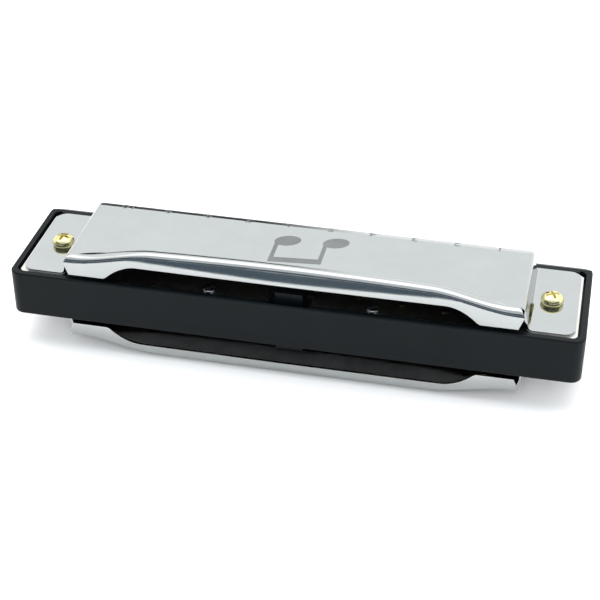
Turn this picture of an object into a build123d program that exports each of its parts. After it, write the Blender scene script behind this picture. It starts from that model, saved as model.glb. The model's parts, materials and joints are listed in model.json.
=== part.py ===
from build123d import *
import os

# Ten-hole diatonic harmonica.
# X runs along the comb, from hole 1 (-X) to hole 10 (+X).
# Y runs from the mouthpiece (-Y) to the sound opening at the rear (+Y).
# Z = 0 is the mid-plane between the blow plate (top) and the draw plate (bottom).

# ------------------------------------------------------------------ driving sizes, mm
# Comb: a plastic tray, open above and below, with a rim all round
comb_length = 101.6
rim_depth = 22.5            # rear face to the front edge of the rim
nose_depth = 3.0            # mouthpiece, in front of the rim
comb_height = 8.6           # over both rims
core_height = 5.8           # between the two reed plates
rim_width = 1.1             # at the rear and at both ends
front_rim_width = 0.5
front_rim_drop = 0.3        # below the rest of the rim
rear_corner_radius = 2.0
nose_corner_radius = 4.0
recess_corner_radius = 1.2
comb_edge_radius = 0.3
nose_tip_height = 5.6
nose_tip_radius = 1.6

# Holes and air chambers
hole_count = 10
hole_pitch = 7.6
hole_width = 5.4
hole_height = 4.4
hole_corner_radius = 0.55
chamber_end_gap = 0.4       # from a reed's fixed pad to the chamber's end

# Centre post of the comb, which locates both plates
post_width = 4.8
post_depth = 3.2
post_height = 11.7          # over both ends
post_setback = 1.6          # from the comb's rear face
notch_width = 7.5
notch_gap = 0.25            # between the notch in a plate and the post's front
rim_pocket_lip = 0.3        # what is left of the rim behind the post
rim_pocket_depth = 1.0

# Reed plates
plate_thickness = 0.9
plate_end_gap = 0.4         # to the rim, at each end
plate_side_gap = 0.25       # to the rim, front and rear
plate_chamfer = 1.0

# Reeds
reed_length_low = 13.4      # hole 1
reed_length_high = 8.0      # hole 10
reed_width = 2.2
reed_thickness = 0.2
reed_lift = 0.03            # from the plate's face to the tongue
reed_side_gap = 0.06
reed_tip_gap = 0.08
reed_root_gap = 0.04        # from the fixed pad to the tongue
blow_tip_setback = 3.45     # front edge of the rim to the blow reeds' tips
draw_root_setback = 4.85    # front edge of the rim to the draw reeds' roots
pad_width = 2.6
pad_length = 2.4
pad_thickness = 0.45
rivet_radius = 0.45
rivet_head_radius = 0.75
rivet_head_height = 0.25
rivet_head_chamfer = 0.2
rivet_tail_radius = 0.6
rivet_tail_height = 0.18
rivet_tail_chamfer = 0.09

# Screws that hold each plate to the comb
plate_screw_x = 14.5
plate_screw_setback = 2.65  # from the comb's rear face
plate_screw_radius = 0.6
plate_screw_head_radius = 1.1
plate_screw_head_height = 0.6
plate_screw_edge_radius = 0.3
plate_screw_grip = 1.6      # into the comb
plate_screw_slot_width = 0.3
plate_screw_slot_depth = 0.25
plate_screw_slot_angle = 30

# Covers: pressed sheet, the lower one a mirror image of the upper
sheet = 0.4
cover_top_half_length = 39.9
cover_end_slope = 1.3       # how far an end wall leans out, from its top to its foot
cover_height = 8.55         # flat top above the mid-plane
cover_front_gap = 0.1       # front wall to the plate's front edge
cover_front_radius = 2.0
cover_rear_setback = 0.2    # rear wall in front of the comb's rear face
cover_rear_radius = 1.6
cover_top_radius = 1.2      # bend between the top and an end wall
rear_wall_gap = 0.93        # rear wall's lower edge above the rim
lip_rise = 2.5              # of the rear lip above the flat top
lip_slope_width = 2.6       # front-to-back width of the slope up to the lip
lip_full_half_length = 21.0
lip_end_half_length = 38.0
lip_sections = 17           # of the loft along the lip
arch_foot_half_length = 32.8
arch_top_half_length = 26.5
arch_rise = 2.95            # of the sound opening above the rear wall's lower edge
arch_corner_radius = 2.6
corner_slit = 0.5           # between the rear wall and an end wall
tab_length = 7.7            # from the foot of an end wall outwards
tab_rear_gap = 0.9          # to the rim
tab_corner_radius = 2.0

# Screws and nuts that clamp the covers
screw_x = 44.35
screw_radius = 1.0
screw_clearance = 0.1
screw_head_radius = 2.0
screw_head_height = 1.8
screw_head_dome_radius = 1.3
cross_width = 0.45
cross_length = 2.2
cross_depth = 0.9
nut_across_flats = 3.6
nut_thickness = 1.3
screw_stand_out = 0.3       # below the nut

# ------------------------------------------------------------------ places worked out
rear_y = (rim_depth + nose_depth) / 2
nose_y = -rear_y
rim_front_y = rear_y - rim_depth
rim_mid_y = (rear_y + rim_front_y) / 2
recess_front_y = rim_front_y + front_rim_width
recess_rear_y = rear_y - rim_width
recess_mid_y = (recess_front_y + recess_rear_y) / 2
comb_half = comb_height / 2
core_half = core_height / 2
plate_face = core_half + plate_thickness
tab_face = plate_face + sheet
plate_length = comb_length - 2 * (rim_width + plate_end_gap)
plate_depth = recess_rear_y - recess_front_y - 2 * plate_side_gap
plate_front_y = recess_front_y + plate_side_gap
cover_front_y = plate_front_y + cover_front_gap
cover_rear_y = rear_y - cover_rear_setback
cover_foot_half_length = cover_top_half_length + cover_end_slope
rear_wall_bottom = comb_half + rear_wall_gap
post_rear_y = rear_y - post_setback
post_front_y = post_rear_y - post_depth
blow_tip_y = rim_front_y + blow_tip_setback
draw_root_y = rim_front_y + draw_root_setback
plate_screw_y = rear_y - plate_screw_setback
hole_numbers = range(1, hole_count + 1)


def hole_x(number):
    """Centre of a hole along the comb."""
    return (number - (hole_count + 1) / 2) * hole_pitch


def reed_length(number):
    """Free length of the tongue, shorter for higher notes."""
    share = (number - 1) / (hole_count - 1)
    return reed_length_low + (reed_length_high - reed_length_low) * share


def blow_root_y(number):
    """Fixed end of a blow reed's tongue: its tip is at the front."""
    return blow_tip_y + reed_length(number)


def chamber_end_y(number):
    """Rear end of an air chamber, just behind the blow reed's pad."""
    return blow_root_y(number) + pad_length + chamber_end_gap


def save(builder, label):
    """Names a finished piece and writes it to its own file."""
    builder.part.label = label
    export_step(builder.part, f"parts/{label}.step")


os.makedirs("parts", exist_ok=True)

# ------------------------------------------------------------------ comb
with BuildPart() as comb:
    with BuildSketch(Plane.YZ) as comb_side:
        with BuildLine():
            Polyline(
                (rear_y, -comb_half),
                (rear_y, comb_half),
                (rim_front_y, comb_half),
                (nose_y, nose_tip_height / 2),
                (nose_y, -nose_tip_height / 2),
                (rim_front_y, -comb_half),
                close=True,
            )
        make_face()
        fillet(comb_side.vertices().group_by(Axis.X)[0], radius=nose_tip_radius)
    extrude(amount=comb_length / 2, both=True)
    with BuildSketch(Plane.XY.offset(-comb_half)) as comb_plan:
        Rectangle(comb_length, rim_depth + nose_depth)
        fillet(comb_plan.vertices().group_by(Axis.Y)[-1], radius=rear_corner_radius)
        fillet(comb_plan.vertices().group_by(Axis.Y)[0], radius=nose_corner_radius)
    extrude(amount=comb_height, mode=Mode.INTERSECT)
    rim_edges = comb.edges().group_by(Axis.Z)
    fillet(rim_edges[0] + rim_edges[-1], radius=comb_edge_radius)

    # recesses for the plates and the covers' tabs
    for start in (core_half, -comb_half):
        with BuildSketch(Plane.XY.offset(start)) as recess:
            with Locations((0, recess_mid_y)):
                Rectangle(comb_length - 2 * rim_width, recess_rear_y - recess_front_y)
            fillet(recess.vertices(), radius=recess_corner_radius)
        extrude(amount=comb_half - core_half, mode=Mode.SUBTRACT)

    # the front rim stands a little lower than the rest
    for start in (comb_half - front_rim_drop, -comb_half):
        with BuildSketch(Plane.XY.offset(start)):
            with Locations((0, (nose_y + recess_front_y) / 2)):
                Rectangle(comb_length - 2 * rim_width, recess_front_y - nose_y)
        extrude(amount=front_rim_drop, mode=Mode.SUBTRACT)

    # air chambers, open to both plates
    for number in hole_numbers:
        chamber_length = chamber_end_y(number) - recess_front_y
        with BuildSketch(Plane.XY.offset(-core_half)):
            with Locations((hole_x(number), recess_front_y + chamber_length / 2)):
                Rectangle(hole_width, chamber_length)
        extrude(amount=core_height, mode=Mode.SUBTRACT)

    # mouth holes through the nose
    with BuildSketch(Plane.XZ.offset(-recess_front_y)):
        with GridLocations(hole_pitch, 0, hole_count, 1):
            RectangleRounded(hole_width, hole_height, hole_corner_radius)
    extrude(amount=recess_front_y - nose_y, mode=Mode.SUBTRACT)

    # centre post, and the pocket for it in both rims
    for start in (comb_half - rim_pocket_depth, -comb_half):
        with BuildSketch(Plane.XY.offset(start)):
            pocket_depth = rim_width - rim_pocket_lip
            with Locations((0, recess_rear_y + pocket_depth / 2)):
                Rectangle(notch_width, pocket_depth)
        extrude(amount=rim_pocket_depth, mode=Mode.SUBTRACT)
    with BuildSketch(Plane.XY.offset(-post_height / 2)):
        with Locations((0, (post_front_y + post_rear_y) / 2)):
            Rectangle(post_width, post_depth)
    extrude(amount=post_height)

    # holes for the cover screws and the plates' screws
    with BuildSketch(Plane.XY.offset(-core_half)):
        with Locations((screw_x, rim_mid_y), (-screw_x, rim_mid_y)):
            Circle(screw_radius + screw_clearance)
    extrude(amount=core_height, mode=Mode.SUBTRACT)
    for start in (core_half - plate_screw_grip, -core_half):
        with BuildSketch(Plane.XY.offset(start)):
            with Locations((plate_screw_x, plate_screw_y), (-plate_screw_x, plate_screw_y)):
                Circle(plate_screw_radius)
        extrude(amount=plate_screw_grip, mode=Mode.SUBTRACT)
save(comb, "comb")


# ------------------------------------------------------------------ reed plates
def slot_centre_y(root_y, direction, number):
    """Middle of a slot that runs from a reed's root towards its tip."""
    return root_y + direction * (reed_length(number) + reed_tip_gap) / 2


def rivet_y(root_y, direction):
    """Middle of the fixed pad, behind the root."""
    return root_y - direction * pad_length / 2


def build_plate(base_z, root_y_of, direction):
    """A brass plate with one slot for each reed, a rear notch, rivet and screw holes."""
    with BuildPart() as plate:
        with BuildSketch(Plane.XY.offset(base_z)) as outline:
            with Locations((0, recess_mid_y)):
                Rectangle(plate_length, plate_depth)
            chamfer(outline.vertices(), length=plate_chamfer)
            notch_depth = recess_rear_y - post_front_y + notch_gap
            with Locations((0, recess_rear_y - notch_depth / 2)):
                Rectangle(notch_width, notch_depth, mode=Mode.SUBTRACT)
            for number in hole_numbers:
                root_y = root_y_of(number)
                with Locations((hole_x(number), slot_centre_y(root_y, direction, number))):
                    Rectangle(
                        reed_width + 2 * reed_side_gap,
                        reed_length(number) + reed_tip_gap,
                        mode=Mode.SUBTRACT,
                    )
                with Locations((hole_x(number), rivet_y(root_y, direction))):
                    Circle(rivet_radius, mode=Mode.SUBTRACT)
            with Locations((screw_x, rim_mid_y), (-screw_x, rim_mid_y)):
                Circle(screw_radius + screw_clearance, mode=Mode.SUBTRACT)
            with Locations((plate_screw_x, plate_screw_y), (-plate_screw_x, plate_screw_y)):
                Circle(plate_screw_radius, mode=Mode.SUBTRACT)
        extrude(amount=plate_thickness)
    return plate


def draw_root(number):
    """Every draw reed has its root on one line near the mouthpiece."""
    return draw_root_y


blow_direction = -1
draw_direction = 1
upper_reed_plate = build_plate(core_half, blow_root_y, blow_direction)
save(upper_reed_plate, "upper_reed_plate")
lower_reed_plate = build_plate(-plate_face, draw_root, draw_direction)
save(lower_reed_plate, "lower_reed_plate")


# ------------------------------------------------------------------ reeds, pads and rivets
def build_reed(number, root_y, direction, face_z):
    """The free tongue below a plate's face at face_z, from its root to its tip."""
    with BuildPart() as reed:
        tongue = reed_length(number) - reed_root_gap
        with BuildSketch(Plane.XY.offset(face_z - reed_lift - reed_thickness)):
            with Locations((hole_x(number), root_y + direction * (reed_root_gap + tongue / 2))):
                Rectangle(reed_width, tongue)
        extrude(amount=reed_thickness)
    return reed


def build_pads(root_y_of, direction, face_z):
    """The fixed ends of ten reeds, riveted flat on the plate's face at face_z."""
    with BuildPart() as pads:
        with BuildSketch(Plane.XY.offset(face_z - pad_thickness)):
            for number in hole_numbers:
                with Locations((hole_x(number), rivet_y(root_y_of(number), direction))):
                    Rectangle(pad_width, pad_length)
                    Circle(rivet_radius, mode=Mode.SUBTRACT)
        extrude(amount=pad_thickness)
    return pads


def build_rivets(root_y_of, direction, face_z):
    """Ten rivets through pad and plate, domed below the pad and peened on the far face."""
    with BuildPart() as rivet:
        with BuildSketch(Plane.XY.offset(-pad_thickness)):
            Circle(rivet_radius)
        extrude(amount=pad_thickness + plate_thickness)
        with BuildSketch(Plane.XY.offset(plate_thickness)):
            Circle(rivet_tail_radius)
        extrude(amount=rivet_tail_height)
        with BuildSketch(Plane.XY.offset(-pad_thickness)):
            Circle(rivet_head_radius)
        extrude(amount=-rivet_head_height)
        chamfer(rivet.edges().group_by(Axis.Z)[0], length=rivet_head_chamfer)
        chamfer(rivet.edges().group_by(Axis.Z)[-1], length=rivet_tail_chamfer)
    with BuildPart() as rivets:
        places = [
            (hole_x(number), rivet_y(root_y_of(number), direction), face_z)
            for number in hole_numbers
        ]
        with Locations(*places):
            add(rivet.part)
    return rivets


for number in hole_numbers:
    blow_reed = build_reed(number, blow_root_y(number), blow_direction, core_half)
    save(blow_reed, f"blow_reed_{number}")
    draw_reed = build_reed(number, draw_root_y, draw_direction, -plate_face)
    save(draw_reed, f"draw_reed_{number}")

blow_reed_pads = build_pads(blow_root_y, blow_direction, core_half)
save(blow_reed_pads, "blow_reed_pads")
draw_reed_pads = build_pads(draw_root, draw_direction, -plate_face)
save(draw_reed_pads, "draw_reed_pads")
blow_reed_rivets = build_rivets(blow_root_y, blow_direction, core_half)
save(blow_reed_rivets, "blow_reed_rivets")
draw_reed_rivets = build_rivets(draw_root, draw_direction, -plate_face)
save(draw_reed_rivets, "draw_reed_rivets")

# ------------------------------------------------------------------ plate screws
with BuildPart() as upper_plate_screws:
    for x in (plate_screw_x, -plate_screw_x):
        with BuildSketch(Plane.XY.offset(core_half - plate_screw_grip)):
            with Locations((x, plate_screw_y)):
                Circle(plate_screw_radius)
        extrude(amount=plate_screw_grip + plate_thickness)
        with BuildSketch(Plane.XY.offset(plate_face)):
            with Locations((x, plate_screw_y)):
                Circle(plate_screw_head_radius)
        extrude(amount=plate_screw_head_height)
    top_edges = upper_plate_screws.edges().group_by(Axis.Z)[-1]
    fillet(top_edges, radius=plate_screw_edge_radius)
    with BuildSketch(Plane.XY.offset(plate_face + plate_screw_head_height)):
        with Locations((plate_screw_x, plate_screw_y), (-plate_screw_x, plate_screw_y)):
            Rectangle(
                2 * plate_screw_head_radius,
                plate_screw_slot_width,
                rotation=plate_screw_slot_angle,
            )
    extrude(amount=-plate_screw_slot_depth, mode=Mode.SUBTRACT)
save(upper_plate_screws, "upper_plate_screws")
with BuildPart() as lower_plate_screws:
    mirror(upper_plate_screws.part, about=Plane.XY)
save(lower_plate_screws, "lower_plate_screws")


# ------------------------------------------------------------------ covers
def build_body(inset):
    """The cover's block, without its lip, taken in by inset on every side but the foot."""
    top = cover_height - inset
    front = cover_front_y + inset
    rear = cover_rear_y - inset
    half_top = cover_top_half_length - inset
    half_foot = cover_foot_half_length - inset
    with BuildPart() as body:
        with BuildSketch(Plane.YZ) as side:
            with BuildLine():
                Polyline(
                    (front, plate_face), (front, top), (rear, top), (rear, plate_face), close=True
                )
            make_face()
            upper = side.vertices().group_by(Axis.Y)[-1].sort_by(Axis.X)
            fillet(upper[0], radius=cover_front_radius - inset)
            fillet(upper[-1], radius=cover_rear_radius - inset)
        extrude(amount=half_foot, both=True)
        with BuildSketch(Plane.XZ.offset(-rear)) as end_view:
            with BuildLine():
                Polyline(
                    (-half_foot, plate_face),
                    (-half_top, top),
                    (half_top, top),
                    (half_foot, plate_face),
                    close=True,
                )
            make_face()
            fillet(end_view.vertices().group_by(Axis.Y)[-1], radius=cover_top_radius - inset)
        extrude(amount=rear - front, mode=Mode.INTERSECT)
    return body


def lip_share(x):
    """How much of the full rise the lip has at x: a smooth S from its ends to its middle."""
    run = (lip_end_half_length - abs(x)) / (lip_end_half_length - lip_full_half_length)
    run = min(max(run, 0.0), 1.0)
    return run * run * (3 - 2 * run)


def build_lip(inset):
    """The raised rear edge as a ridge lofted along X, taken in by inset."""
    steps = lip_sections - 1
    rear = cover_rear_y - inset
    radius = cover_rear_radius - inset
    base = rear_wall_bottom + sheet
    with BuildPart() as lip:
        for step in range(steps + 1):
            x = (2 * step / steps - 1) * lip_end_half_length
            top = cover_height - inset + lip_rise * lip_share(x)
            crest_y = rear - radius
            fall = top - base
            slope = fall * lip_slope_width / lip_rise
            with BuildSketch(Plane.YZ.offset(x)):
                with BuildLine():
                    Line((crest_y - slope, base), (crest_y, top))
                    TangentArc((crest_y, top), (rear, top - radius), tangent=(1, 0))
                    Line((rear, top - radius), (rear, base))
                    Line((rear, base), (crest_y - slope, base))
                make_face()
        loft()
    return lip


cover_outer = build_body(0)
cover_inner = build_body(sheet)
lip_outer = build_lip(0)
lip_inner = build_lip(sheet)

with BuildPart() as upper_cover:
    add(cover_outer.part)
    add(lip_outer.part)
    add(cover_inner.part, mode=Mode.SUBTRACT)
    add(lip_inner.part, mode=Mode.SUBTRACT)

    # rear wall: clear of the rim below, arched over the sound opening
    wall_cut_depth = sheet + cover_rear_radius
    with BuildSketch(Plane.XZ.offset(-cover_rear_y)) as opening:
        with Locations((0, (plate_face + rear_wall_bottom) / 2)):
            Rectangle(2 * cover_foot_half_length, rear_wall_bottom - plate_face)
        with BuildLine():
            Polyline(
                (-arch_foot_half_length, rear_wall_bottom),
                (-arch_top_half_length, rear_wall_bottom + arch_rise),
                (arch_top_half_length, rear_wall_bottom + arch_rise),
                (arch_foot_half_length, rear_wall_bottom),
                close=True,
            )
        make_face()
        arch_corners = opening.vertices().group_by(Axis.Y)[-1]
        fillet(arch_corners, radius=arch_corner_radius)
    extrude(amount=wall_cut_depth, mode=Mode.SUBTRACT)

    # slits that leave the rear wall free of the end walls
    slit_height = cover_height - cover_top_radius - plate_face
    with BuildSketch(Plane.XZ.offset(-cover_rear_y)):
        for side in (-1, 1):
            with Locations((side * (cover_foot_half_length - corner_slit), plate_face + slit_height / 2)):
                Rectangle(2 * (cover_end_slope + corner_slit), slit_height)
    extrude(amount=cover_rear_radius, mode=Mode.SUBTRACT)

    # screw tabs
    tab_front_y = cover_front_y
    tab_rear_y = recess_rear_y - tab_rear_gap
    for side in (-1, 1):
        with BuildSketch(Plane.XY.offset(plate_face)) as tab:
            tab_start = cover_foot_half_length - sheet
            tab_mid_x = tab_start + (tab_length + sheet) / 2
            with Locations((side * tab_mid_x, (tab_front_y + tab_rear_y) / 2)):
                Rectangle(tab_length + sheet, tab_rear_y - tab_front_y)
            fillet(tab.vertices(), radius=tab_corner_radius)
            with Locations((side * screw_x, rim_mid_y)):
                Circle(screw_radius + screw_clearance, mode=Mode.SUBTRACT)
        extrude(amount=sheet)
save(upper_cover, "upper_cover")
with BuildPart() as lower_cover:
    mirror(upper_cover.part, about=Plane.XY)
save(lower_cover, "lower_cover")

# ------------------------------------------------------------------ cover screws and nuts
with BuildPart() as cover_screws:
    nut_bottom = -tab_face - nut_thickness
    shank_bottom = nut_bottom - screw_stand_out
    for x in (screw_x, -screw_x):
        with BuildSketch(Plane.XY.offset(shank_bottom)):
            with Locations((x, rim_mid_y)):
                Circle(screw_radius)
        extrude(amount=tab_face - shank_bottom)
        with BuildSketch(Plane.XY.offset(tab_face)):
            with Locations((x, rim_mid_y)):
                Circle(screw_head_radius)
        extrude(amount=screw_head_height)
    fillet(cover_screws.edges().group_by(Axis.Z)[-1], radius=screw_head_dome_radius)
    with BuildSketch(Plane.XY.offset(tab_face + screw_head_height)):
        with Locations((screw_x, rim_mid_y), (-screw_x, rim_mid_y)):
            Rectangle(cross_length, cross_width)
            Rectangle(cross_width, cross_length)
    extrude(amount=-cross_depth, mode=Mode.SUBTRACT)
save(cover_screws, "cover_screws")

with BuildPart() as cover_nuts:
    with BuildSketch(Plane.XY.offset(-tab_face)):
        with Locations((screw_x, rim_mid_y), (-screw_x, rim_mid_y)):
            RegularPolygon(nut_across_flats / 2, 6, major_radius=False)
            Circle(screw_radius, mode=Mode.SUBTRACT)
    extrude(amount=-nut_thickness)
save(cover_nuts, "cover_nuts")
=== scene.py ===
import json
import math

import bmesh
import bpy
from mathutils import Matrix, Vector


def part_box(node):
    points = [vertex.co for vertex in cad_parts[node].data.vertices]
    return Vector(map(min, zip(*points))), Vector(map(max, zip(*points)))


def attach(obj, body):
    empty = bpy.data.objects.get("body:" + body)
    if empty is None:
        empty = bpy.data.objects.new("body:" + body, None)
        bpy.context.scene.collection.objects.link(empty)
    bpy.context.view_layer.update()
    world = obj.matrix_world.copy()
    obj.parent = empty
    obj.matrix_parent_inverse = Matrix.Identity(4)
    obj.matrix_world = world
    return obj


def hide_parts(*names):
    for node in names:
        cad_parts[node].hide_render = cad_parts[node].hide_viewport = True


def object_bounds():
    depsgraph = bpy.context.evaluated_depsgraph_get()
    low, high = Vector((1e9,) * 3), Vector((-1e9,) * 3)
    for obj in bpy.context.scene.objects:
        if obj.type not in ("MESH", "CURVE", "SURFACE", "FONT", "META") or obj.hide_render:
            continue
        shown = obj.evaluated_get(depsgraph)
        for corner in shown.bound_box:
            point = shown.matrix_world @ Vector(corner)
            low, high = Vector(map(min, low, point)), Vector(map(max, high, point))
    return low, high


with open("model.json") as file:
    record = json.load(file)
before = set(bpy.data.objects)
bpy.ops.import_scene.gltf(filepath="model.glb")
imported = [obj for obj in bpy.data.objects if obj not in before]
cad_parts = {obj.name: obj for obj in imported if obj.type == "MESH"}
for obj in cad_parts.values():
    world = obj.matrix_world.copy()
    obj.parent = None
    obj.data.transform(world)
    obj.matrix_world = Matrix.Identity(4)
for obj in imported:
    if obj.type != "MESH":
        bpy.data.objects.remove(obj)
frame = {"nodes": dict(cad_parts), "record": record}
cad_low, cad_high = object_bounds()

# Sizes below are millimetres in the CAD frame; mesh points are turned into metres when a piece is made.
MM = 0.001


def box_mm(node):
    """Lowest and highest corner of a CAD node, in millimetres."""
    low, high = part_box(node)
    return low / MM, high / MM


def smooth(t):
    """S-curve from 0 to 1."""
    t = min(max(t, 0.0), 1.0)
    return t * t * (3 - 2 * t)


def between(pair, share):
    """A value between the two of a pair."""
    return pair[0] + (pair[1] - pair[0]) * share


def spread(start, end, count):
    """count + 1 even steps from start to end."""
    return [start + (end - start) * i / count for i in range(count + 1)]


comb_high = box_mm("comb")[1]
cover_low, cover_high = box_mm("upper_cover")
screws_low, screws_high = box_mm("cover_screws")
mounts = {mount["name"]: mount for mount in frame["record"]["mounts"]}

BODY = "harmonica_body"         # everything but the reeds is fixed together

# ------------------------------------------------------------------ sizes of the covers
SHEET = 0.4                     # sheet thickness
FLAT_Z = abs(mounts["rest_face"]["pos_m"][2]) / MM      # flat top of the upper cover
FOOT_Z = cover_low.z            # lower edge of the cover
TAB_Z = FOOT_Z + SHEET          # outer face of the screw tabs
LIP_TOP = cover_high.z
FRONT_Y = cover_low.y
REAR_Y = cover_high.y
TAB_END_X = cover_high.x
TAB_CORNER = 2.0
TAB_FLARE = 1.6                 # height in which an end wall widens to the rear edge of its tab
TAB_REAR_GAP = 2.0              # from a tab to the comb's rear face
RIM_REAR_Y = comb_high.y
RIM_DEPTH = 22.5
TAB_REAR_Y = RIM_REAR_Y - TAB_REAR_GAP
RIM_MID_Y = RIM_REAR_Y - RIM_DEPTH / 2
RIM_Z = 4.3
WALL_GAP = 0.93                 # from the rim up to the rear wall beside the opening

FLAT_X = 39.4                   # half length of the flat top
END_BEND = 1.0                  # bend from the top to an end wall
END_LEAN = math.radians(12)     # of the end walls
FOOT_BEND = 0.8                 # from an end wall to its tab
FACET_BEND = 0.6                # front edge: a narrow facet between two bends
FACET_TILT = math.radians(15)
FACET_WIDTH = 1.3
FRONT_BEND = 1.3
FRONT_LEAN = math.radians(3)
CORNER_POWER = 0.6              # below 1: the corners are squarer than an ellipse

LIP_START_X = 38.5              # the lip rises from here towards the middle
LIP_RUN = 14.5
LIP_CROWN = 0.3                 # what it still gains towards the middle
LIP_RISE = LIP_TOP - FLAT_Z - LIP_CROWN
CREST_RADIUS = 1.7              # of the lip's rounded crest, towards the front
SLOPE_ANGLE = math.radians(52)  # of the slope up to the lip
SLOPE_BLEND = 0.25              # how softly the slope meets the flat top

ROLL_RADIUS = (1.5, 1.4)        # of the rear roll: at the ends, and where the lip is highest
WALL_START = (math.radians(60), math.radians(74))   # tilt of the rear wall: in the middle, at the sides
WALL_END = (math.radians(75.5), math.radians(88))   # and lower down
WALL_TILT_POWER = 1.5
WALL_BOW_DROP = 1.95            # below this the wall is straight
WALL_BOW_SHARE = 0.95           # of what is left of the wall, at most

ARCH_X = 32.8                   # half width of the sound opening at its foot
ARCH_RUN = 6.0
ARCH_RISE = 2.95
WALL_HALF = 39.6                # half length of the rear wall's lower edge
WALL_TAPER = 0.8                # how much wider the wall is at its bend
WALL_Z = RIM_Z + WALL_GAP       # lower edge of the rear wall beside the opening
WALL_MARGIN = 0.08              # kept between the wall and the cover's rearmost point
COVER_EDGE = 0.06               # how far the cover's sharp edges are broken

# ------------------------------------------------------------------ spacing of a cover's points
COLUMNS = 160                   # along the flat top
FACET_STEPS = (4, 3)            # round the first bend, and along the facet
FRONT_STEPS = 14                # round the second bend of the front
CORNER_STEPS = 14               # round a corner, seen from above
BEND_STEPS = 12                 # round the bends of an end wall
LEAST_STEP = 0.004              # between two levels of an end wall
EDGE_ROWS = (0.12, 0.5)         # first rows behind the front bend
FLAT_ROWS = 10                  # from there to the rows of the lip
FLAT_ROWS_END = 5.6             # in front of the lip's crest
LIP_ROWS = 52
LIP_ROWS_START = 5.2
ROLL_STEPS = 12                 # round the rear roll, and again down the rear wall
TAB_SHARES = (0, 0.02, 0.12, 0.3, 0.5, 0.7, 0.88, 0.98, 1)     # across a tab
WELD_DIGITS = 4                 # points that agree to these digits are one
TINY = 0.001

# ------------------------------------------------------------------ sizes of the screws
SCREW_RADIUS = 1.0
SCREW_CLEARANCE = 0.1
SCREW_HEAD_RADIUS = 2.0
SCREW_X = screws_high.x - SCREW_HEAD_RADIUS
SCREW_SIDE = 0.7                # height of the head's side, below its dome
SCREW_TUCK = 0.3                # how much narrower the head is where it meets the tab
SCREW_SEAT_GAP = 0.02
SCREW_TIP = 0.2                 # taken off the end of the thread
SCREW_EDGE = 0.05               # how far its sharp edges are broken
SCREW_TURNS = (25, -10)         # of the two crosses, in degrees
DOME_STEPS = 16
SIDE_STEPS = 8
CROSS_DEPTH = 1.2
CROSS_TOP = (1.45, 0.26)        # half length and half width of one slot at the top
CROSS_BOTTOM = (0.5, 0.14)
THREAD_PITCH = 0.4
THREAD_DEPTH = 0.14
CUTTER_MARGIN = 0.1             # how far a cutter stands out of what it cuts
HOLE_CUTTER_DEPTH = 30.0

# ------------------------------------------------------------------ sizes of the etched marks
HOLE_COUNT = 10
HOLE_PITCH = 7.6
NUMBER_SIZE = 2.9               # of the type; the digits are about 0.7 of it high
NUMBER_STEP = 0.3               # they start this far into the flat top
NUMBER_SLICES = 14              # so that they can follow the bend
NUMBER_WELD = 0.0005
ETCH = 0.012                    # how far an etched face stands proud
ETCH_ROOT = 0.02                # how far the mark's sides reach into the sheet
LAYER_STEP = 0.001              # between overlapping shapes of the mark
NOTE_X = (-5.6, 3.0)            # middles of the two notes' heads
NOTE_Y = -2.4                   # of the first head
NOTE_HEAD = (4.8, 3.2)          # length and width
NOTE_TURN = math.radians(20)
NOTE_RISE = 0.9                 # of the second note over the first
STEM_REACH = 2.1                # from the middle of a head to its stem's outer side
STEM_WIDTH = 0.75
STEM_SHORT = 0.06               # the stem's inner corner, kept below the beam's slope
BEAM_Y = 4.9
BEAM_WIDTH = 1.5
OVAL_STEPS = 40


def lip_rise(x):
    """Height of the lip over the flat top at x."""
    rise = LIP_RISE * smooth((LIP_START_X - abs(x)) / LIP_RUN)
    crown = max(0.0, 1 - (x / (LIP_START_X - LIP_RUN)) ** 2)
    return rise + LIP_CROWN * crown


def lip_share(x):
    """0 where the lip starts, 1 where it stands highest."""
    return lip_rise(x) / (LIP_TOP - FLAT_Z)


def slope_drop(back):
    """Fall of the lip's front side at a distance in front of its crest."""
    run = CREST_RADIUS * math.sin(SLOPE_ANGLE)
    if back < run:
        return CREST_RADIUS - math.sqrt(CREST_RADIUS ** 2 - back ** 2)
    return CREST_RADIUS * (1 - math.cos(SLOPE_ANGLE)) + (back - run) * math.tan(SLOPE_ANGLE)


def top_z(x, back):
    """Outer face of the top, at a distance in front of the lip's crest."""
    rise = lip_rise(x)
    slope = FLAT_Z + rise - slope_drop(back)
    blend = SLOPE_BLEND * min(1.0, 2 * rise)
    if blend < TINY:
        return max(slope, FLAT_Z)
    near = max(blend - abs(slope - FLAT_Z), 0.0) / blend
    return max(slope, FLAT_Z) + near * near * blend / 4


def rear_roll(x):
    """Radii of the rear roll and of the bowed wall at x, and the tilts where the bow starts and ends."""
    roll = between(ROLL_RADIUS, lip_share(x))
    sideways = min(abs(x) / ARCH_X, 1) ** WALL_TILT_POWER
    start = between(WALL_START, sideways)
    end = between(WALL_END, sideways)
    bow = WALL_BOW_DROP / (math.cos(start) - math.cos(end))
    return roll, bow, start, end


def rear_profile(x, count):
    """(distance behind the crest, drop below it) down the rear roll and the rear wall."""
    roll, bow, start, end = rear_roll(x)
    points = [
        (roll * math.sin(angle), roll * (1 - math.cos(angle)))
        for angle in spread(0, start, count)
    ]
    behind, drop = points[-1]
    edge_drop = FLAT_Z + lip_rise(x) - wall_bottom_z(x)
    bow_drop = min(WALL_BOW_DROP, WALL_BOW_SHARE * (edge_drop - drop))
    last = math.acos(math.cos(start) - bow_drop / bow)
    for angle in spread(start, last, count)[1:]:
        points.append((
            behind + bow * (math.sin(angle) - math.sin(start)),
            drop + bow * (math.cos(start) - math.cos(angle)),
        ))
    behind, drop = points[-1]
    points.append((behind + (edge_drop - drop) / math.tan(last), edge_drop))
    return points


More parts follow.
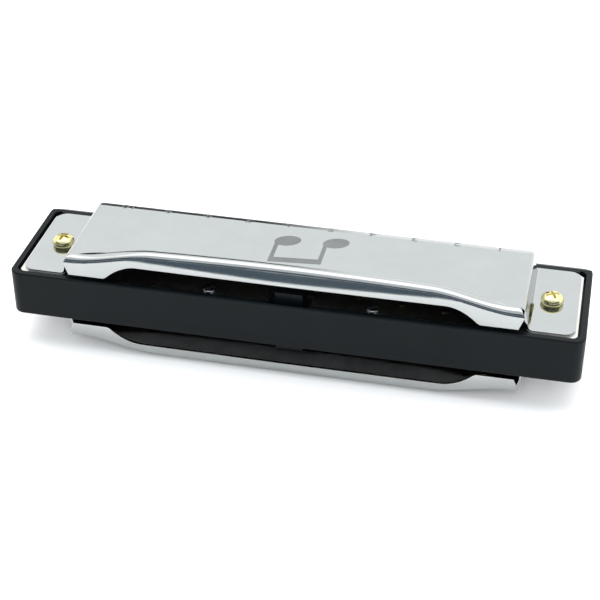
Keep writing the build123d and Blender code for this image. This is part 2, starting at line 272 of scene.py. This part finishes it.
def crest_y(x):
    """Y of the lip's crest, so that the rear wall ends near the rear edge."""
    roll, bow, start, end = rear_roll(x)
    behind = roll * math.sin(start) + bow * (math.sin(end) - math.sin(start))
    return REAR_Y - WALL_MARGIN - behind


def wall_bottom_z(x):
    """Lower edge of the rear wall, arched over the sound opening."""
    share = min(max((ARCH_X - abs(x)) / ARCH_RUN, 0.0), 1.0)
    return WALL_Z + ARCH_RISE * (1 - (1 - share) ** 2)


# ------------------------------------------------------------------ mesh helpers
class Sheet:
    """Patches of points welded into one surface."""

    def __init__(self):
        self.points = []
        self.faces = []
        self.known = {}

    def vertex(self, point):
        key = tuple(round(c, WELD_DIGITS) for c in point)
        if key not in self.known:
            self.known[key] = len(self.points)
            self.points.append(point)
        return self.known[key]

    def patch(self, rows):
        ids = [[self.vertex(point) for point in row] for row in rows]
        for near, far in zip(ids, ids[1:]):
            for a, b, c, d in zip(near, near[1:], far[1:], far):
                corners = list(dict.fromkeys((a, b, c, d)))
                if len(corners) > 2:
                    self.faces.append(corners)

    def mesh(self, name):
        return mesh_of(name, self.points, self.faces)


def mesh_of(name, points, faces):
    """A mesh from points in millimetres, its faces turned the same way."""
    data = bpy.data.meshes.new(name)
    data.from_pydata([Vector(point) * MM for point in points], [], faces)
    work = bmesh.new()
    work.from_mesh(data)
    bmesh.ops.recalc_face_normals(work, faces=work.faces)
    work.to_mesh(data)
    work.free()
    return data


def take_mesh(work, name):
    """The mesh of a finished bmesh."""
    data = bpy.data.meshes.new(name)
    work.to_mesh(data)
    work.free()
    return data


def new_object(name, data):
    piece = bpy.data.objects.new(name, data)
    bpy.context.scene.collection.objects.link(piece)
    return piece


def evaluated_mesh(holder):
    """The shape of an object with its modifiers, as a mesh of its own."""
    bpy.context.view_layer.update()
    depsgraph = bpy.context.evaluated_depsgraph_get()
    return bpy.data.meshes.new_from_object(holder.evaluated_get(depsgraph))


def cut_and_finish(piece, cutters, edge, edge_angle, sharp_angle):
    """Cuts a piece and breaks its edges; angles in degrees. The result becomes its own mesh."""
    for cutter in cutters:
        cut = piece.modifiers.new("cut", "BOOLEAN")
        cut.object = cutter
        cut.operation = "DIFFERENCE"
        cut.solver = "EXACT"
    bevel = piece.modifiers.new("edge_break", "BEVEL")
    bevel.width = edge * MM
    bevel.segments = 2
    bevel.limit_method = "ANGLE"
    bevel.angle_limit = math.radians(edge_angle)
    bevel.miter_outer = "MITER_ARC"
    bevel.use_clamp_overlap = True
    data = evaluated_mesh(piece)
    piece.modifiers.clear()
    piece.data = data
    data.shade_smooth()
    data.set_sharp_from_angle(angle=math.radians(sharp_angle))
    for cutter in cutters:
        bpy.data.objects.remove(cutter)


# ------------------------------------------------------------------ covers
def bend_drop(radius, lean, drop):
    """How far out a wall is at a drop below the top, after a bend of that radius."""
    turn = math.pi / 2 - lean
    bend_height = radius * (1 - math.cos(turn))
    if drop < bend_height:
        return radius * math.sin(math.acos(1 - drop / radius))
    return radius * math.sin(turn) + (drop - bend_height) * math.tan(lean)


def front_profile():
    """(distance in front of the flat top, drop below it): facet, bend and front wall."""
    points = []
    bend_steps, facet_steps = FACET_STEPS
    for angle in spread(0, FACET_TILT, bend_steps):
        points.append((FACET_BEND * math.sin(angle), FACET_BEND * (1 - math.cos(angle))))
    ahead, drop = points[-1]
    for length in spread(0, FACET_WIDTH, facet_steps)[1:]:
        points.append((ahead + length * math.cos(FACET_TILT), drop + length * math.sin(FACET_TILT)))
    ahead, drop = points[-1]
    for angle in spread(FACET_TILT, math.pi / 2 - FRONT_LEAN, FRONT_STEPS)[1:]:
        points.append((
            ahead + FRONT_BEND * (math.sin(angle) - math.sin(FACET_TILT)),
            drop + FRONT_BEND * (math.cos(FACET_TILT) - math.cos(angle)),
        ))
    ahead, drop = points[-1]
    depth = FLAT_Z - FOOT_Z
    points.append((ahead + (depth - drop) * math.tan(FRONT_LEAN), depth))
    return points


FRONT_PROFILE = front_profile()
FRONT_RUN = FRONT_PROFILE[-1][0]


def front_reach(drop):
    """How far in front of the flat top the front face is, at a drop below it."""
    for (ahead, high), (further, low) in zip(FRONT_PROFILE, FRONT_PROFILE[1:]):
        if drop <= low:
            return ahead + (further - ahead) * max(0.0, drop - high) / (low - high)
    return FRONT_RUN


def end_reach(z):
    """How far outside the flat top an end wall is at z, with its flare into the tab."""
    turn = math.pi / 2 - END_LEAN
    flare_top = TAB_Z + FOOT_BEND * (1 - math.cos(turn))
    if z >= flare_top:
        return bend_drop(END_BEND, END_LEAN, FLAT_Z - z)
    start = bend_drop(END_BEND, END_LEAN, FLAT_Z - flare_top)
    left = math.acos(min(1.0, 1 - (z - TAB_Z) / FOOT_BEND))
    return start + FOOT_BEND * (math.sin(turn) - math.sin(left))


def bend_levels():
    """Heights from the flat top down to the tab, close together at the bends."""
    turn = math.pi / 2 - END_LEAN
    levels = {FLAT_Z, TAB_Z}
    for angle in spread(0, turn, BEND_STEPS):
        levels.add(FLAT_Z - END_BEND * (1 - math.cos(angle)))
        levels.add(TAB_Z + FOOT_BEND * (1 - math.cos(angle)))
    levels.update(FLAT_Z - drop for ahead, drop in FRONT_PROFILE if drop < FLAT_Z - TAB_Z)
    ordered = sorted(levels, reverse=True)
    kept = [ordered[0]]
    for level in ordered[1:]:
        if kept[-1] - level > LEAST_STEP:
            kept.append(level)
    kept[-1] = TAB_Z
    return kept


def top_backs(x):
    """Distances in front of the lip's crest, from the front edge of the flat top to the crest."""
    depth = crest_y(x) - (FRONT_Y + FRONT_RUN)
    first, second = EDGE_ROWS
    backs = [depth, depth - first]
    backs += spread(depth - second, FLAT_ROWS_END, FLAT_ROWS)
    backs += spread(LIP_ROWS_START, 0, LIP_ROWS)
    return backs


def end_rear_y(z, start):
    """Rear edge of an end wall: straight, then curved back to the rear edge of its tab."""
    share = min(max(1 - (z - TAB_Z) / TAB_FLARE, 0.0), 1.0)
    return start + (TAB_REAR_Y - start) * (1 - math.sqrt(max(0.0, 1 - share ** 2)))


def tab_edge_x(y):
    """Outer edge of a tab at y, with rounded corners."""
    depth = max(FRONT_Y + TAB_CORNER - y, y - TAB_REAR_Y + TAB_CORNER, 0.0)
    depth = min(depth, TAB_CORNER)
    return TAB_END_X - TAB_CORNER + math.sqrt(TAB_CORNER ** 2 - depth ** 2)


def rear_rows(columns):
    """The rear roll and the rear wall, a little wider than the flat top."""
    rows = []
    for x in columns:
        row = []
        for step, (behind, drop) in enumerate(rear_profile(x, ROLL_STEPS)):
            half = FLAT_X + (WALL_HALF + WALL_TAPER - FLAT_X) * min(1, step / ROLL_STEPS)
            half -= WALL_TAPER * max(0, step / ROLL_STEPS - 1)
            row.append((x * half / FLAT_X, crest_y(x) + behind, FLAT_Z + lip_rise(x) - drop))
        rows.append(row)
    return rows


def end_wall_rows(side, levels):
    """An end wall, from the flat top down to its foot."""
    front = FRONT_Y + FRONT_RUN
    bend_y = crest_y(FLAT_X)
    shares = [1 - back / (bend_y - front) for back in top_backs(FLAT_X)]
    rows = []
    for z in levels:
        reach = FLAT_X + end_reach(z)
        depth = end_rear_y(z, bend_y) - front
        rows.append([(side * reach, front + depth * share, z) for share in shares])
    return rows


def corner_rows(side, levels):
    """The corner between an end wall and the front face."""
    front = FRONT_Y + FRONT_RUN
    rows = []
    for z in levels:
        forward = front_reach(FLAT_Z - z)
        reach = end_reach(z)
        rows.append([
            (
                side * (FLAT_X + reach * math.cos(angle) ** CORNER_POWER),
                front - forward * math.sin(angle) ** CORNER_POWER,
                z,
            )
            for angle in spread(0, math.pi / 2, CORNER_STEPS)
        ])
    return rows


def tab_rows(side, foot):
    """A screw tab, from the foot of its end wall outwards."""
    rows = []
    for x, y, z in foot:
        start = abs(x)
        edge = tab_edge_x(y)
        rows.append([(side * (start + (edge - start) * share), y, z) for share in TAB_SHARES])
    return rows


def cover_sheet(flip):
    """The outer face of a cover; flip is 1 for the upper cover and -1 for the lower one."""
    sheet = Sheet()
    front = FRONT_Y + FRONT_RUN
    columns = spread(-FLAT_X, FLAT_X, COLUMNS)
    levels = bend_levels()

    def put(patch):
        sheet.patch([[(x, y, z * flip) for x, y, z in row] for row in patch])

    put([[(x, crest_y(x) - back, top_z(x, back)) for back in top_backs(x)] for x in columns])
    put(rear_rows(columns))
    put([[(x, front - ahead, FLAT_Z - drop) for x in columns] for ahead, drop in FRONT_PROFILE])
    for side in (-1, 1):
        end_wall = end_wall_rows(side, levels)
        corner = corner_rows(side, levels)
        put(end_wall)
        put(corner)
        put(tab_rows(side, list(reversed(corner[-1])) + end_wall[-1][1:]))
    return sheet


def hole_cutter(x, y):
    """A round cutter through a tab, for its screw."""
    radius = (SCREW_RADIUS + SCREW_CLEARANCE) * MM
    work = bmesh.new()
    bmesh.ops.create_cone(
        work, cap_ends=True, segments=64, radius1=radius, radius2=radius, depth=HOLE_CUTTER_DEPTH * MM
    )
    cutter = new_object("hole_cutter", take_mesh(work, "hole_cutter"))
    cutter.location = (x * MM, y * MM, 0)
    return cutter


def make_cover(name, node, outer, inner, flip):
    """A whole pressed cover in place of its CAD node."""
    data = cover_sheet(flip).mesh(name)
    upward = sum(face.normal.z * face.area for face in data.polygons)
    if upward * flip < 0:
        data.flip_normals()
    data.materials.append(outer)
    data.materials.append(inner)
    piece = new_object(name, data)
    thickness = piece.modifiers.new("sheet", "SOLIDIFY")
    thickness.thickness = SHEET * MM
    thickness.offset = -1
    thickness.use_even_offset = True
    # the inner faces take the second material, a painted shade for the covers' dark insides
    thickness.material_offset = 1
    cutters = [hole_cutter(side * SCREW_X, RIM_MID_Y) for side in (-1, 1)]
    cut_and_finish(piece, cutters, COVER_EDGE, edge_angle=45, sharp_angle=35)
    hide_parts(node)
    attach(piece, BODY)


# ------------------------------------------------------------------ screws
def screw_profile():
    """(radius, z) from the top of the dome down to the end of the thread."""
    top = screws_high.z
    side = TAB_Z + SCREW_SIDE
    points = [
        (SCREW_HEAD_RADIUS * math.sin(angle), side + (top - side) * math.cos(angle))
        for angle in spread(0, math.pi / 2, DOME_STEPS)
    ]
    for angle in spread(0, math.pi / 2, SIDE_STEPS)[1:]:
        points.append((
            SCREW_HEAD_RADIUS - SCREW_TUCK * (1 - math.cos(angle)),
            side - (SCREW_SIDE - SCREW_SEAT_GAP) * math.sin(angle),
        ))
    points.append((SCREW_RADIUS, TAB_Z + SCREW_SEAT_GAP))
    z = -TAB_Z
    while z > screws_low.z + THREAD_PITCH:
        points.append((SCREW_RADIUS, z))
        points.append((SCREW_RADIUS - THREAD_DEPTH, z - THREAD_PITCH / 2))
        z -= THREAD_PITCH
    points.append((SCREW_RADIUS - SCREW_TIP, screws_low.z))
    points.append((0, screws_low.z))
    return points


def turned(name, profile, segments=72):
    """A solid of revolution about Z."""
    work = bmesh.new()
    vertices = [work.verts.new((r * MM, 0, z * MM)) for r, z in profile]
    edges = [work.edges.new(pair) for pair in zip(vertices, vertices[1:])]
    bmesh.ops.spin(
        work, geom=vertices + edges, cent=(0, 0, 0), axis=(0, 0, 1), steps=segments,
        angle=2 * math.pi, use_merge=True,
    )
    bmesh.ops.remove_doubles(work, verts=work.verts, dist=TINY * MM)
    bmesh.ops.recalc_face_normals(work, faces=work.faces)
    return take_mesh(work, name)


def slot_cutter(turn):
    """A tapered slot across a screw head."""
    top = screws_high.z + CUTTER_MARGIN
    rings = ((*CROSS_TOP, top), (*CROSS_BOTTOM, top - CUTTER_MARGIN - CROSS_DEPTH))
    corners = [
        (sx * length, sy * width, z)
        for length, width, z in rings
        for sx, sy in ((-1, -1), (1, -1), (1, 1), (-1, 1))
    ]
    faces = [(0, 1, 2, 3), (7, 6, 5, 4)]
    faces += [(i, i + 4, (i + 1) % 4 + 4, (i + 1) % 4) for i in range(4)]
    cutter = new_object("slot_cutter", mesh_of("slot_cutter", corners, faces))
    cutter.rotation_euler.z = turn
    return cutter


def make_screws(material):
    """Both cover screws, with domed heads and cross recesses."""
    piece = new_object("cover_screw_pair", turned("cover_screw_pair", screw_profile()))
    cutters = [slot_cutter(0), slot_cutter(math.pi / 2)]
    cut_and_finish(piece, cutters, SCREW_EDGE, edge_angle=40, sharp_angle=50)
    pair = bmesh.new()
    for side, turn in zip((-1, 1), SCREW_TURNS):
        one = piece.data.copy()
        one.transform(
            Matrix.Translation(Vector((side * SCREW_X, RIM_MID_Y, 0)) * MM)
            @ Matrix.Rotation(math.radians(turn), 4, "Z")
        )
        pair.from_mesh(one)
        bpy.data.meshes.remove(one)
    pair.to_mesh(piece.data)
    pair.free()
    piece.data.materials.append(material)
    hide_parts("cover_screws")
    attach(piece, BODY)


# ------------------------------------------------------------------ etched numbers and mark
def on_front(distance, lift):
    """(y, z) of a point at a distance along the front face, from the flat top's edge."""
    front = FRONT_Y + FRONT_RUN
    if distance <= 0:
        return front - distance, FLAT_Z + lift
    for (ahead, drop), (further, lower) in zip(FRONT_PROFILE, FRONT_PROFILE[1:]):
        run, fall = further - ahead, lower - drop
        length = math.hypot(run, fall)
        if distance <= length:
            share = distance / length
            y = front - ahead - run * share - lift * fall / length
            return y, FLAT_Z - drop - fall * share + lift * run / length
        distance -= length
    return FRONT_Y, FOOT_Z


def number_mesh(number):
    """One number, laid over the bend at the front of the flat top."""
    text = bpy.data.curves.new("number", "FONT")
    text.body = str(number)
    text.align_x = "CENTER"
    text.size = NUMBER_SIZE
    text.extrude = ETCH / 2
    holder = new_object("number", text)
    work = bmesh.new()
    work.from_mesh(evaluated_mesh(holder))
    bpy.data.objects.remove(holder)
    bmesh.ops.remove_doubles(work, verts=work.verts, dist=NUMBER_WELD)
    height = max(vertex.co.y for vertex in work.verts)
    for level in spread(0, height, NUMBER_SLICES)[1:-1]:
        bmesh.ops.bisect_plane(
            work, geom=work.verts[:] + work.edges[:] + work.faces[:],
            plane_co=(0, level, 0), plane_no=(0, 1, 0),
        )
    x = (number - (HOLE_COUNT + 1) / 2) * HOLE_PITCH
    for vertex in work.verts:
        y, z = on_front(height - vertex.co.y - NUMBER_STEP, vertex.co.z + ETCH / 2)
        vertex.co = Vector((x + vertex.co.x, y, z)) * MM
    return take_mesh(work, "number")


def make_numbers(material):
    """The numbers 1 to 10, etched where the top turns down to the mouthpiece."""
    whole = bmesh.new()
    for number in range(1, HOLE_COUNT + 1):
        whole.from_mesh(number_mesh(number))
    finish_etched("hole_numbers", take_mesh(whole, "hole_numbers"), material)


def finish_etched(name, data, material):
    """Makes a piece of an etched mark."""
    piece = new_object(name, data)
    data.materials.append(material)
    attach(piece, BODY)


def note_head(x, y):
    """Outline of a note's head, a tilted oval."""
    length, width = NOTE_HEAD
    points = []
    for angle in spread(0, 2 * math.pi, OVAL_STEPS)[:-1]:
        along, across = length / 2 * math.cos(angle), width / 2 * math.sin(angle)
        points.append((
            x + along * math.cos(NOTE_TURN) - across * math.sin(NOTE_TURN),
            y + along * math.sin(NOTE_TURN) + across * math.cos(NOTE_TURN),
        ))
    return points


def note_outlines():
    """Two heads, two stems and the beam that joins them."""
    head_y = (NOTE_Y, NOTE_Y + NOTE_RISE)
    tops = (BEAM_Y, BEAM_Y + NOTE_RISE)
    stem_x = [x + STEM_REACH for x in NOTE_X]
    outlines = [note_head(x, y) for x, y in zip(NOTE_X, head_y)]
    for x, top, bottom in zip(stem_x, tops, head_y):
        inner = x - STEM_WIDTH
        outlines.append([(inner, bottom), (x, bottom), (x, top), (inner, top - STEM_SHORT)])
    left, right = stem_x[0] - STEM_WIDTH, stem_x[1]
    outlines.append([
        (left, tops[0] - BEAM_WIDTH), (right, tops[1] - BEAM_WIDTH), (right, tops[1]), (left, tops[0]),
    ])
    return outlines


def make_mark(material):
    """A plain pair of beamed notes, etched in the middle of the upper cover."""
    work = bmesh.new()
    for layer, outline in enumerate(note_outlines()):
        face_z = FLAT_Z + ETCH + LAYER_STEP * layer
        lower = [work.verts.new(Vector((x, y, FLAT_Z - ETCH_ROOT)) * MM) for x, y in outline]
        upper = [work.verts.new(Vector((x, y, face_z)) * MM) for x, y in outline]
        work.faces.new(upper)
        work.faces.new(lower[::-1])
        for i in range(len(outline)):
            j = (i + 1) % len(outline)
            work.faces.new((lower[i], lower[j], upper[j], upper[i]))
    finish_etched("note_mark", take_mesh(work, "note_mark"), material)


# ------------------------------------------------------------------ materials
class Nodes:
    """Adds and links the shader nodes of a material or a world."""

    def __init__(self, owner):
        owner.use_nodes = True
        self.tree = owner.node_tree

    def link(self, source, target):
        self.tree.links.new(source, target)

    def add(self, kind, **values):
        node = self.tree.nodes.new(kind)
        for key, value in values.items():
            setattr(node, key, value)
        return node

    def ramp(self, value, stops):
        """A colour ramp; stops are (position, colour)."""
        node = self.add("ShaderNodeValToRGB")
        elements = node.color_ramp.elements
        while len(elements) < len(stops):
            elements.new(0.5)
        for element, (position, colour) in zip(elements, stops):
            element.position = position
            element.color = (*colour, 1)
        self.link(value, node.inputs["Fac"])
        return node.outputs["Color"]

    def range(self, value, low, high, start=0.3, end=0.7):
        """Turns start to end into low to high."""
        node = self.add("ShaderNodeMapRange")
        node.inputs["From Min"].default_value = start
        node.inputs["From Max"].default_value = end
        node.inputs["To Min"].default_value = low
        node.inputs["To Max"].default_value = high
        self.link(value, node.inputs["Value"])
        return node.outputs["Result"]

    def math(self, operation, *values):
        node = self.add("ShaderNodeMath", operation=operation)
        for socket, value in zip(node.inputs, values):
            if isinstance(value, (int, float)):
                socket.default_value = value
            else:
                self.link(value, socket)
        return node.outputs["Value"]


class MaterialNodes(Nodes):
    """The nodes of a material, around one principled shader."""

    def __init__(self, material):
        super().__init__(material)
        self.tree.nodes.clear()
        output = self.add("ShaderNodeOutputMaterial")
        self.shader = self.add("ShaderNodeBsdfPrincipled")
        self.link(self.shader.outputs[0], output.inputs[0])

    def place(self, scale):
        """Object coordinates stretched by scale, in units per metre."""
        where = self.add("ShaderNodeTexCoord")
        mapping = self.add("ShaderNodeMapping")
        mapping.inputs["Scale"].default_value = scale
        self.link(where.outputs["Object"], mapping.inputs["Vector"])
        return mapping.outputs["Vector"]

    def noise(self, scale, detail):
        node = self.add("ShaderNodeTexNoise")
        node.inputs["Scale"].default_value = 1.0
        node.inputs["Detail"].default_value = detail
        node.inputs["Roughness"].default_value = 0.55
        self.link(self.place(scale), node.inputs["Vector"])
        return node.outputs["Fac"]

    def blend(self, first, second, share):
        """The sum of two values, with share of the second."""
        return self.math("ADD", self.math("MULTIPLY", first, 1 - share), self.math("MULTIPLY", second, share))

    def bump(self, height, strength, distance):
        node = self.add("ShaderNodeBump")
        node.inputs["Strength"].default_value = strength
        node.inputs["Distance"].default_value = distance * MM
        self.link(height, node.inputs["Height"])
        self.link(node.outputs["Normal"], self.shader.inputs["Normal"])

    def set(self, **values):
        for key, value in values.items():
            self.shader.inputs[key.replace("_", " ")].default_value = value


def metal(name, colours, roughness, grain, grain_depth, scratch=0.0):
    """Metal with a fine grain: grain is cycles per metre along X, Y and Z."""
    material = bpy.data.materials.new(name)
    nodes = MaterialNodes(material)
    nodes.set(Metallic=1.0)
    cloud = nodes.noise((180, 180, 180), detail=4)
    nodes.link(nodes.ramp(cloud, [(0.3, colours[0]), (0.7, colours[1])]), nodes.shader.inputs["Base Color"])
    lines = nodes.noise(grain, detail=2)
    smear = nodes.noise((60, 140, 140), detail=5)
    nodes.link(nodes.range(nodes.blend(lines, smear, 0.5), *roughness), nodes.shader.inputs["Roughness"])
    height = lines
    if scratch:
        marks = nodes.noise((90, 4200, 4200), detail=1)
        height = nodes.math("ADD", lines, nodes.range(marks, 0, scratch, start=0.62, end=0.7))
    nodes.bump(height, strength=0.35, distance=grain_depth)
    return material


def plastic(name):
    """Satin black moulded plastic with a fine mould texture and light scuffs."""
    material = bpy.data.materials.new(name)
    nodes = MaterialNodes(material)
    nodes.set(Specular_IOR_Level=0.13)
    cloud = nodes.noise((90, 90, 90), detail=4)
    nodes.link(
        nodes.ramp(cloud, [(0.3, (0.002, 0.0036, 0.0046)), (0.7, (0.003, 0.005, 0.006))]),
        nodes.shader.inputs["Base Color"],
    )
    fine = nodes.noise((2600, 2600, 2600), detail=3)
    scuffs = nodes.noise((70, 500, 500), detail=5)
    mixed = nodes.blend(fine, scuffs, 0.6)
    nodes.link(nodes.range(mixed, low=0.3, high=0.46), nodes.shader.inputs["Roughness"])
    nodes.bump(fine, strength=0.25, distance=0.02)
    return material


steel = metal(
    "cover_steel",
    colours=((0.40, 0.413, 0.412), (0.422, 0.436, 0.434)),
    roughness=(0.07, 0.15),
    grain=(350, 9000, 9000),
    grain_depth=0.006,
    scratch=0.6,
)
plate_metal = metal(
    "plate_metal",
    colours=((0.62, 0.61, 0.57), (0.70, 0.69, 0.65)),
    roughness=(0.25, 0.4),
    grain=(400, 7000, 7000),
    grain_depth=0.01,
)
reed_brass = metal(
    "reed_brass",
    colours=((0.70, 0.47, 0.18), (0.80, 0.57, 0.25)),
    roughness=(0.2, 0.38),
    grain=(9000, 500, 9000),
    grain_depth=0.01,
)
screw_brass = metal(
    "screw_brass",
    colours=((0.60, 0.54, 0.27), (0.70, 0.64, 0.36)),
    roughness=(0.05, 0.13),
    grain=(1500, 1500, 6000),
    grain_depth=0.006,
)
screw_steel = metal(
    "screw_steel",
    colours=((0.62, 0.63, 0.64), (0.7, 0.71, 0.72)),
    roughness=(0.12, 0.25),
    grain=(2000, 2000, 2000),
    grain_depth=0.006,
)
# Inside faces of the covers: steel darkened to near black, a painted shade for the dark under the covers and
# in the sound opening.
inner_steel_painted_shade = metal(
    "inner_steel_painted_shade",
    colours=((0.10, 0.095, 0.09), (0.15, 0.145, 0.14)),
    roughness=(0.4, 0.55),
    grain=(350, 6000, 6000),
    grain_depth=0.01,
)
etched = metal(
    "etched_steel",
    colours=((0.19, 0.20, 0.20), (0.23, 0.24, 0.24)),
    roughness=(0.45, 0.6),
    grain=(9000, 9000, 9000),
    grain_depth=0.01,
)
# Rivets: brass darkened well below its own colour, a painted shade for the dim inside of the covers.
rivet_brass_painted_shade = metal(
    "rivet_brass_painted_shade",
    colours=((0.3, 0.24, 0.14), (0.4, 0.33, 0.2)),
    roughness=(0.25, 0.4),
    grain=(3000, 3000, 3000),
    grain_depth=0.01,
)
comb_plastic = plastic("comb_plastic")


def paint(node, material):
    piece = frame["nodes"][node]
    piece.data.materials.clear()
    piece.data.materials.append(material)


for node in frame["nodes"]:
    if "reed_plate" in node:
        paint(node, plate_metal)
    elif "plate_screws" in node:
        paint(node, screw_steel)
    elif "rivets" in node:
        paint(node, rivet_brass_painted_shade)
    elif "reed" in node:
        paint(node, reed_brass)
    elif node in ("cover_screws", "cover_nuts"):
        paint(node, screw_brass)
    elif node == "comb":
        paint(node, comb_plastic)

make_cover("upper_cover_shell", "upper_cover", steel, inner_steel_painted_shade, 1)
make_cover("lower_cover_shell", "lower_cover", steel, inner_steel_painted_shade, -1)
make_numbers(etched)
make_mark(etched)
make_screws(screw_brass)


# ------------------------------------------------------------------ camera
def set_camera():
    """Camera behind the comb, above it and slightly to the high-note side."""
    azimuth = math.radians(192.3)
    elevation = math.radians(34.33)
    distance = 266.35
    shift_right = 0.13
    shift_up = 1.49
    back = Vector((
        math.sin(azimuth) * math.cos(elevation),
        -math.cos(azimuth) * math.cos(elevation),
        math.sin(elevation),
    ))
    data = bpy.data.cameras.new("camera")
    data.sensor_width = 36
    data.lens = 89.118
    data.clip_start = 0.01
    data.clip_end = 20
    camera = new_object("camera", data)
    turn = (-back).to_track_quat("-Z", "Y")
    right = turn @ Vector((1, 0, 0))
    up = turn @ Vector((0, 1, 0))
    centre = Vector((0, RIM_MID_Y, 0))
    camera.rotation_mode = "QUATERNION"
    camera.rotation_quaternion = turn
    camera.location = (centre + back * distance - right * shift_right - up * shift_up) * MM
    bpy.context.scene.camera = camera


set_camera()


# ------------------------------------------------------------------ floor and light
def set_floor():
    data = bpy.data.meshes.new("floor")
    size = 3.0
    z = cad_low.z
    data.from_pydata(
        [(-size, -size, z), (size, -size, z), (size, size, z), (-size, size, z)], [], [(0, 1, 2, 3)]
    )
    floor = new_object("floor", data)
    material = bpy.data.materials.new("floor_white")
    nodes = MaterialNodes(material)
    nodes.set(Base_Color=(0.85, 0.85, 0.85, 1), Roughness=0.85, Specular_IOR_Level=0.1)
    data.materials.append(material)


class WorldNodes(Nodes):
    """The nodes of the studio's light."""

    def direction(self):
        where = self.add("ShaderNodeTexCoord")
        split = self.add("ShaderNodeSeparateXYZ")
        self.link(where.outputs["Generated"], split.inputs[0])
        return split.outputs

    def step(self, value, start, end):
        """0 before start, 1 after end."""
        return self.range(value, 0, 1, start, end)

    def mix(self, share, first, second):
        node = self.add("ShaderNodeMix", data_type="RGBA")
        factor, first_colour, second_colour = (node.inputs[i] for i in (0, 6, 7))
        self.link(share, factor)
        self.link(first, first_colour)
        self.link(second, second_colour)
        return node.outputs[2]

    def finish(self, colour):
        self.link(colour, self.tree.nodes["Background"].inputs["Color"])


def set_world():
    """A studio: a bright ceiling, a pale wall in front, a dark room behind the camera."""
    world = bpy.data.worlds.new("studio")
    bpy.context.scene.world = world
    nodes = WorldNodes(world)
    x, y, z = nodes.direction()
    ahead = nodes.ramp(z, [
        (0.0, (1.55, 1.56, 1.58)), (0.5, (1.5, 1.54, 1.56)), (0.74, (1.62, 1.65, 1.67)),
        (0.9, (2.9, 2.9, 2.9)),
    ])
    horizon = nodes.ramp(z, [
        (0.0, (0.01, 0.01, 0.012)), (0.36, (0.01, 0.01, 0.012)), (0.44, (1.5, 1.54, 1.56)),
        (0.74, (1.62, 1.65, 1.67)), (0.9, (2.9, 2.9, 2.9)),
    ])
    behind = nodes.ramp(z, [
        (0.0, (1.1, 1.15, 1.18)), (0.04, (0.14, 0.19, 0.24)), (0.4, (0.17, 0.22, 0.27)),
        (0.43, (1.0, 1.1, 1.15)), (0.47, (0.09, 0.11, 0.14)), (0.66, (0.1, 0.13, 0.16)),
        (0.72, (1.0, 1.05, 1.1)),
    ])
    near_side = nodes.step(nodes.math("MULTIPLY_ADD", y, 0.148, x), -0.01, 0.05)
    far_side = nodes.step(nodes.math("MULTIPLY_ADD", y, 0.5, x), 0.06, -0.02)
    front = nodes.mix(nodes.math("MULTIPLY", near_side, far_side), ahead, horizon)
    nodes.finish(nodes.mix(nodes.step(y, 0.05, 0.25), front, behind))


def set_lamp(name, place, size, energy):
    """A large soft lamp for the floor and the shadows; reflections show only the studio."""
    data = bpy.data.lights.new(name, "AREA")
    data.shape = "DISK"
    data.size = size
    data.energy = energy
    lamp = new_object(name, data)
    lamp.location = place
    lamp.rotation_mode = "QUATERNION"
    lamp.rotation_quaternion = Vector(place).to_track_quat("Z", "Y")
    lamp.visible_glossy = False


set_floor()
set_world()
set_lamp("ceiling_lamp", place=(0.05, 0.1, 1.0), size=0.9, energy=3.2)
set_lamp("fill_lamp", place=(-0.05, 0.8, 0.5), size=0.8, energy=6.0)
settings = bpy.context.scene.view_settings
settings.view_transform = "Standard"
